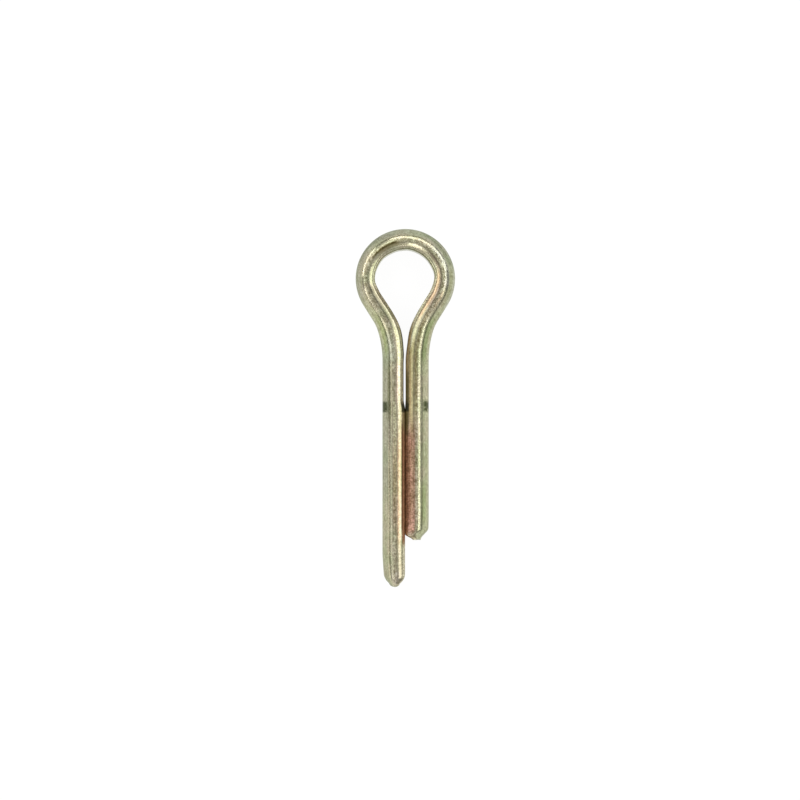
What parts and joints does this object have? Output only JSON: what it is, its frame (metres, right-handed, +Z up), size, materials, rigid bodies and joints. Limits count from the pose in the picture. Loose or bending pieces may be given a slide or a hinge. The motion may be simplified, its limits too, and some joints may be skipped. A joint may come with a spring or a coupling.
{
  "type": "split pin",
  "caption": "Split pin bent from half-round wire, with a teardrop eye, a round shank and one leg longer than the other, in yellow zinc-plated steel.",
  "frame": {"origin": "on the surface that the pin lies on, under the middle of its bounding box", "axes": "+Y along the shank from the leg tips to the eye, +Z up through the eye's hole, long leg on the -X side"},
  "size_m": [0.0122, 0.044, 0.0057],
  "materials": {
    "zinc_wire": "yellow zinc plate, semi-gloss, with drawn grain"
  },
  "bodies": {
    "root": {"split_pin": "zinc_wire"}
  },
  "joints": []
}
